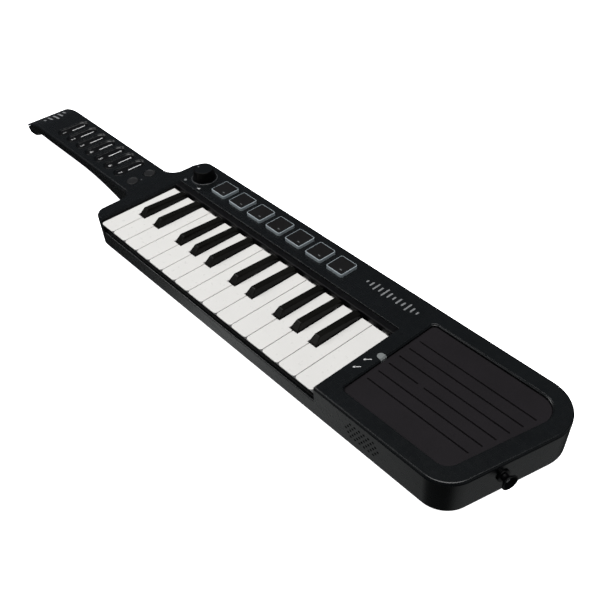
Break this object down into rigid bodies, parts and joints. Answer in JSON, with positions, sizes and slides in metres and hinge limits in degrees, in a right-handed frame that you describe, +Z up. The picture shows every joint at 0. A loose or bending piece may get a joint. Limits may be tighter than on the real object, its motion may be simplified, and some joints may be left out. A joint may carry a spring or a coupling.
{
  "type": "keytar",
  "caption": "Flat keyboard worn on a strap, with small keys, square pads, a volume knob, a strum plate and a chord neck.",
  "frame": {"origin": "middle of the underside of the whole object's box, on the plane that the feet rest on", "axes": "+X along the keys towards the strum plate, with the neck towards -X; +Y away from the player, from the keys' front edge to the pads; +Z up out of the panel"},
  "size_m": [0.6954, 0.1366, 0.047],
  "materials": {
    "shell": "satin, finely textured black",
    "trim": "smooth black",
    "plate": "matt, finely grained black",
    "white_key": "satin white",
    "black_key": "satin black",
    "pad": "matt silicone with clear sides",
    "knob": "satin black",
    "light_ring": "frosted light ring",
    "round_button": "matt dark grey",
    "lens": "frosted clear",
    "board": "green circuit board",
    "inner_frame": "plain moulded",
    "felt": "felt",
    "metal": "plain",
    "battery": "sleeved cells"
  },
  "bodies": {
    "casing": {"top_cover": "shell", "bottom_case": "shell", "battery_door": "shell", "key_frame": "inner_frame", "key_felt": "felt", "key_board": "board", "key_trim": "trim", "knob_ring": "light_ring", "knob_encoder": "metal", "strum_plate": "plate", "indicator_lens": "lens", "strap_button": "knob", "strap_screw": "metal", "speaker": "metal", "battery_pack": "battery", "main_board": "board", "neck_board": "board", "usb_socket": "metal"},
    "white_key_01": {"white_key_01": "white_key"},
    "white_key_02": {"white_key_02": "white_key"},
    "white_key_03": {"white_key_03": "white_key"},
    "white_key_04": {"white_key_04": "white_key"},
    "white_key_05": {"white_key_05": "white_key"},
    "white_key_06": {"white_key_06": "white_key"},
    "white_key_07": {"white_key_07": "white_key"},
    "white_key_08": {"white_key_08": "white_key"},
    "white_key_09": {"white_key_09": "white_key"},
    "white_key_10": {"white_key_10": "white_key"},
    "white_key_11": {"white_key_11": "white_key"},
    "white_key_12": {"white_key_12": "white_key"},
    "white_key_13": {"white_key_13": "white_key"},
    "white_key_14": {"white_key_14": "white_key"},
    "white_key_15": {"white_key_15": "white_key"},
    "black_key_01": {"black_key_01": "black_key"},
    "black_key_02": {"black_key_02": "black_key"},
    "black_key_03": {"black_key_03": "black_key"},
    "black_key_04": {"black_key_04": "black_key"},
    "black_key_05": {"black_key_05": "black_key"},
    "black_key_06": {"black_key_06": "black_key"},
    "black_key_07": {"black_key_07": "black_key"},
    "black_key_08": {"black_key_08": "black_key"},
    "black_key_09": {"black_key_09": "black_key"},
    "black_key_10": {"black_key_10": "black_key"},
    "pad_1": {"pad_1": "pad"},
    "pad_2": {"pad_2": "pad"},
    "pad_3": {"pad_3": "pad"},
    "pad_4": {"pad_4": "pad"},
    "pad_5": {"pad_5": "pad"},
    "pad_6": {"pad_6": "pad"},
    "pad_7": {"pad_7": "pad"},
    "chord_button_1": {"chord_button_1": "trim"},
    "chord_button_2": {"chord_button_2": "trim"},
    "chord_button_3": {"chord_button_3": "trim"},
    "chord_button_4": {"chord_button_4": "trim"},
    "chord_button_5": {"chord_button_5": "trim"},
    "chord_button_6": {"chord_button_6": "trim"},
    "chord_button_7": {"chord_button_7": "trim"},
    "neck_button_1": {"neck_button_1": "round_button"},
    "neck_button_2": {"neck_button_2": "round_button"},
    "volume_knob": {"volume_knob": "knob"}
  },
  "joints": [
    {"name": "white_key_01_press", "type": "hinge", "parent": "casing", "child": "white_key_01", "pos_m": [-0.10064, 0.0312, 0.0238], "axis": [1, 0, 0], "range_deg": [0, 2], "stiffness_Nm_per_rad": 0.6, "springref_deg": -2.86},
    {"name": "white_key_02_press", "type": "hinge", "parent": "casing", "child": "white_key_02", "pos_m": [-0.07724, 0.0312, 0.0238], "axis": [1, 0, 0], "range_deg": [0, 2], "stiffness_Nm_per_rad": 0.6, "springref_deg": -2.86},
    {"name": "white_key_03_press", "type": "hinge", "parent": "casing", "child": "white_key_03", "pos_m": [-0.05384, 0.0312, 0.0238], "axis": [1, 0, 0], "range_deg": [0, 2], "stiffness_Nm_per_rad": 0.6, "springref_deg": -2.86},
    {"name": "white_key_04_press", "type": "hinge", "parent": "casing", "child": "white_key_04", "pos_m": [-0.04074, 0.0312, 0.0238], "axis": [1, 0, 0], "range_deg": [0, 2], "stiffness_Nm_per_rad": 0.6, "springref_deg": -2.86},
    {"name": "white_key_05_press", "type": "hinge", "parent": "casing", "child": "white_key_05", "pos_m": [-0.01804, 0.0312, 0.0238], "axis": [1, 0, 0], "range_deg": [0, 2], "stiffness_Nm_per_rad": 0.6, "springref_deg": -2.86},
    {"name": "white_key_06_press", "type": "hinge", "parent": "casing", "child": "white_key_06", "pos_m": [0.00446, 0.0312, 0.0238], "axis": [1, 0, 0], "range_deg": [0, 2], "stiffness_Nm_per_rad": 0.6, "springref_deg": -2.86},
    {"name": "white_key_07_press", "type": "hinge", "parent": "casing", "child": "white_key_07", "pos_m": [0.02676, 0.0312, 0.0238], "axis": [1, 0, 0], "range_deg": [0, 2], "stiffness_Nm_per_rad": 0.6, "springref_deg": -2.86},
    {"name": "white_key_08_press", "type": "hinge", "parent": "casing", "child": "white_key_08", "pos_m": [0.03936, 0.0312, 0.0238], "axis": [1, 0, 0], "range_deg": [0, 2], "stiffness_Nm_per_rad": 0.6, "springref_deg": -2.86},
    {"name": "white_key_09_press", "type": "hinge", "parent": "casing", "child": "white_key_09", "pos_m": [0.06276, 0.0312, 0.0238], "axis": [1, 0, 0], "range_deg": [0, 2], "stiffness_Nm_per_rad": 0.6, "springref_deg": -2.86},
    {"name": "white_key_10_press", "type": "hinge", "parent": "casing", "child": "white_key_10", "pos_m": [0.08616, 0.0312, 0.0238], "axis": [1, 0, 0], "range_deg": [0, 2], "stiffness_Nm_per_rad": 0.6, "springref_deg": -2.86},
    {"name": "white_key_11_press", "type": "hinge", "parent": "casing", "child": "white_key_11", "pos_m": [0.09926, 0.0312, 0.0238], "axis": [1, 0, 0], "range_deg": [0, 2], "stiffness_Nm_per_rad": 0.6, "springref_deg": -2.86},
    {"name": "white_key_12_press", "type": "hinge", "parent": "casing", "child": "white_key_12", "pos_m": [0.12196, 0.0312, 0.0238], "axis": [1, 0, 0], "range_deg": [0, 2], "stiffness_Nm_per_rad": 0.6, "springref_deg": -2.86},
    {"name": "white_key_13_press", "type": "hinge", "parent": "casing", "child": "white_key_13", "pos_m": [0.14446, 0.0312, 0.0238], "axis": [1, 0, 0], "range_deg": [0, 2], "stiffness_Nm_per_rad": 0.6, "springref_deg": -2.86},
    {"name": "white_key_14_press", "type": "hinge", "parent": "casing", "child": "white_key_14", "pos_m": [0.16676, 0.0312, 0.0238], "axis": [1, 0, 0], "range_deg": [0, 2], "stiffness_Nm_per_rad": 0.6, "springref_deg": -2.86},
    {"name": "white_key_15_press", "type": "hinge", "parent": "casing", "child": "white_key_15", "pos_m": [0.18276, 0.0312, 0.0238], "axis": [1, 0, 0], "range_deg": [0, 2], "stiffness_Nm_per_rad": 0.6, "springref_deg": -2.86},
    {"name": "black_key_01_press", "type": "hinge", "parent": "casing", "child": "black_key_01", "pos_m": [-0.08904, 0.0312, 0.0238], "axis": [1, 0, 0], "range_deg": [0, 2], "stiffness_Nm_per_rad": 0.4, "springref_deg": -2.86},
    {"name": "black_key_02_press", "type": "hinge", "parent": "casing", "child": "black_key_02", "pos_m": [-0.06544, 0.0312, 0.0238], "axis": [1, 0, 0], "range_deg": [0, 2], "stiffness_Nm_per_rad": 0.4, "springref_deg": -2.86},
    {"name": "black_key_03_press", "type": "hinge", "parent": "casing", "child": "black_key_03", "pos_m": [-0.02924, 0.0312, 0.0238], "axis": [1, 0, 0], "range_deg": [0, 2], "stiffness_Nm_per_rad": 0.4, "springref_deg": -2.86},
    {"name": "black_key_04_press", "type": "hinge", "parent": "casing", "child": "black_key_04", "pos_m": [-0.00684, 0.0312, 0.0238], "axis": [1, 0, 0], "range_deg": [0, 2], "stiffness_Nm_per_rad": 0.4, "springref_deg": -2.86},
    {"name": "black_key_05_press", "type": "hinge", "parent": "casing", "child": "black_key_05", "pos_m": [0.01576, 0.0312, 0.0238], "axis": [1, 0, 0], "range_deg": [0, 2], "stiffness_Nm_per_rad": 0.4, "springref_deg": -2.86},
    {"name": "black_key_06_press", "type": "hinge", "parent": "casing", "child": "black_key_06", "pos_m": [0.05096, 0.0312, 0.0238], "axis": [1, 0, 0], "range_deg": [0, 2], "stiffness_Nm_per_rad": 0.4, "springref_deg": -2.86},
    {"name": "black_key_07_press", "type": "hinge", "parent": "casing", "child": "black_key_07", "pos_m": [0.07456, 0.0312, 0.0238], "axis": [1, 0, 0], "range_deg": [0, 2], "stiffness_Nm_per_rad": 0.4, "springref_deg": -2.86},
    {"name": "black_key_08_press", "type": "hinge", "parent": "casing", "child": "black_key_08", "pos_m": [0.11076, 0.0312, 0.0238], "axis": [1, 0, 0], "range_deg": [0, 2], "stiffness_Nm_per_rad": 0.4, "springref_deg": -2.86},
    {"name": "black_key_09_press", "type": "hinge", "parent": "casing", "child": "black_key_09", "pos_m": [0.13316, 0.0312, 0.0238], "axis": [1, 0, 0], "range_deg": [0, 2], "stiffness_Nm_per_rad": 0.4, "springref_deg": -2.86},
    {"name": "black_key_10_press", "type": "hinge", "parent": "casing", "child": "black_key_10", "pos_m": [0.15576, 0.0312, 0.0238], "axis": [1, 0, 0], "range_deg": [0, 2], "stiffness_Nm_per_rad": 0.4, "springref_deg": -2.86},
    {"name": "pad_1_press", "type": "slide", "parent": "casing", "child": "pad_1", "axis": [0, 0, -1], "range_m": [0, 0.0008], "stiffness_N_per_m": 800, "springref_m": -0.0006},
    {"name": "pad_2_press", "type": "slide", "parent": "casing", "child": "pad_2", "axis": [0, 0, -1], "range_m": [0, 0.0008], "stiffness_N_per_m": 800, "springref_m": -0.0006},
    {"name": "pad_3_press", "type": "slide", "parent": "casing", "child": "pad_3", "axis": [0, 0, -1], "range_m": [0, 0.0008], "stiffness_N_per_m": 800, "springref_m": -0.0006},
    {"name": "pad_4_press", "type": "slide", "parent": "casing", "child": "pad_4", "axis": [0, 0, -1], "range_m": [0, 0.0008], "stiffness_N_per_m": 800, "springref_m": -0.0006},
    {"name": "pad_5_press", "type": "slide", "parent": "casing", "child": "pad_5", "axis": [0, 0, -1], "range_m": [0, 0.0008], "stiffness_N_per_m": 800, "springref_m": -0.0006},
    {"name": "pad_6_press", "type": "slide", "parent": "casing", "child": "pad_6", "axis": [0, 0, -1], "range_m": [0, 0.0008], "stiffness_N_per_m": 800, "springref_m": -0.0006},
    {"name": "pad_7_press", "type": "slide", "parent": "casing", "child": "pad_7", "axis": [0, 0, -1], "range_m": [0, 0.0008], "stiffness_N_per_m": 800, "springref_m": -0.0006},
    {"name": "chord_button_1_press", "type": "slide", "parent": "casing", "child": "chord_button_1", "axis": [0, 0, -1], "range_m": [0, 0.0008], "stiffness_N_per_m": 700, "springref_m": -0.0006},
    {"name": "chord_button_2_press", "type": "slide", "parent": "casing", "child": "chord_button_2", "axis": [0, 0, -1], "range_m": [0, 0.0008], "stiffness_N_per_m": 700, "springref_m": -0.0006},
    {"name": "chord_button_3_press", "type": "slide", "parent": "casing", "child": "chord_button_3", "axis": [0, 0, -1], "range_m": [0, 0.0008], "stiffness_N_per_m": 700, "springref_m": -0.0006},
    {"name": "chord_button_4_press", "type": "slide", "parent": "casing", "child": "chord_button_4", "axis": [0, 0, -1], "range_m": [0, 0.0008], "stiffness_N_per_m": 700, "springref_m": -0.0006},
    {"name": "chord_button_5_press", "type": "slide", "parent": "casing", "child": "chord_button_5", "axis": [0, 0, -1], "range_m": [0, 0.0008], "stiffness_N_per_m": 700, "springref_m": -0.0006},
    {"name": "chord_button_6_press", "type": "slide", "parent": "casing", "child": "chord_button_6", "axis": [0, 0, -1], "range_m": [0, 0.0008], "stiffness_N_per_m": 700, "springref_m": -0.0006},
    {"name": "chord_button_7_press", "type": "slide", "parent": "casing", "child": "chord_button_7", "axis": [0, 0, -1], "range_m": [0, 0.0008], "stiffness_N_per_m": 700, "springref_m": -0.0006},
    {"name": "neck_button_1_press", "type": "slide", "parent": "casing", "child": "neck_button_1", "axis": [0, 0, -1], "range_m": [0, 0.0008], "stiffness_N_per_m": 600, "springref_m": -0.0006},
    {"name": "neck_button_2_press", "type": "slide", "parent": "casing", "child": "neck_button_2", "axis": [0, 0, -1], "range_m": [0, 0.0008], "stiffness_N_per_m": 600, "springref_m": -0.0006},
    {"name": "volume_turn", "type": "hinge", "parent": "casing", "child": "volume_knob", "pos_m": [-0.09664, 0.0475, 0.0361], "axis": [0, 0, 1], "range_deg": [-150, 150]}
  ]
}
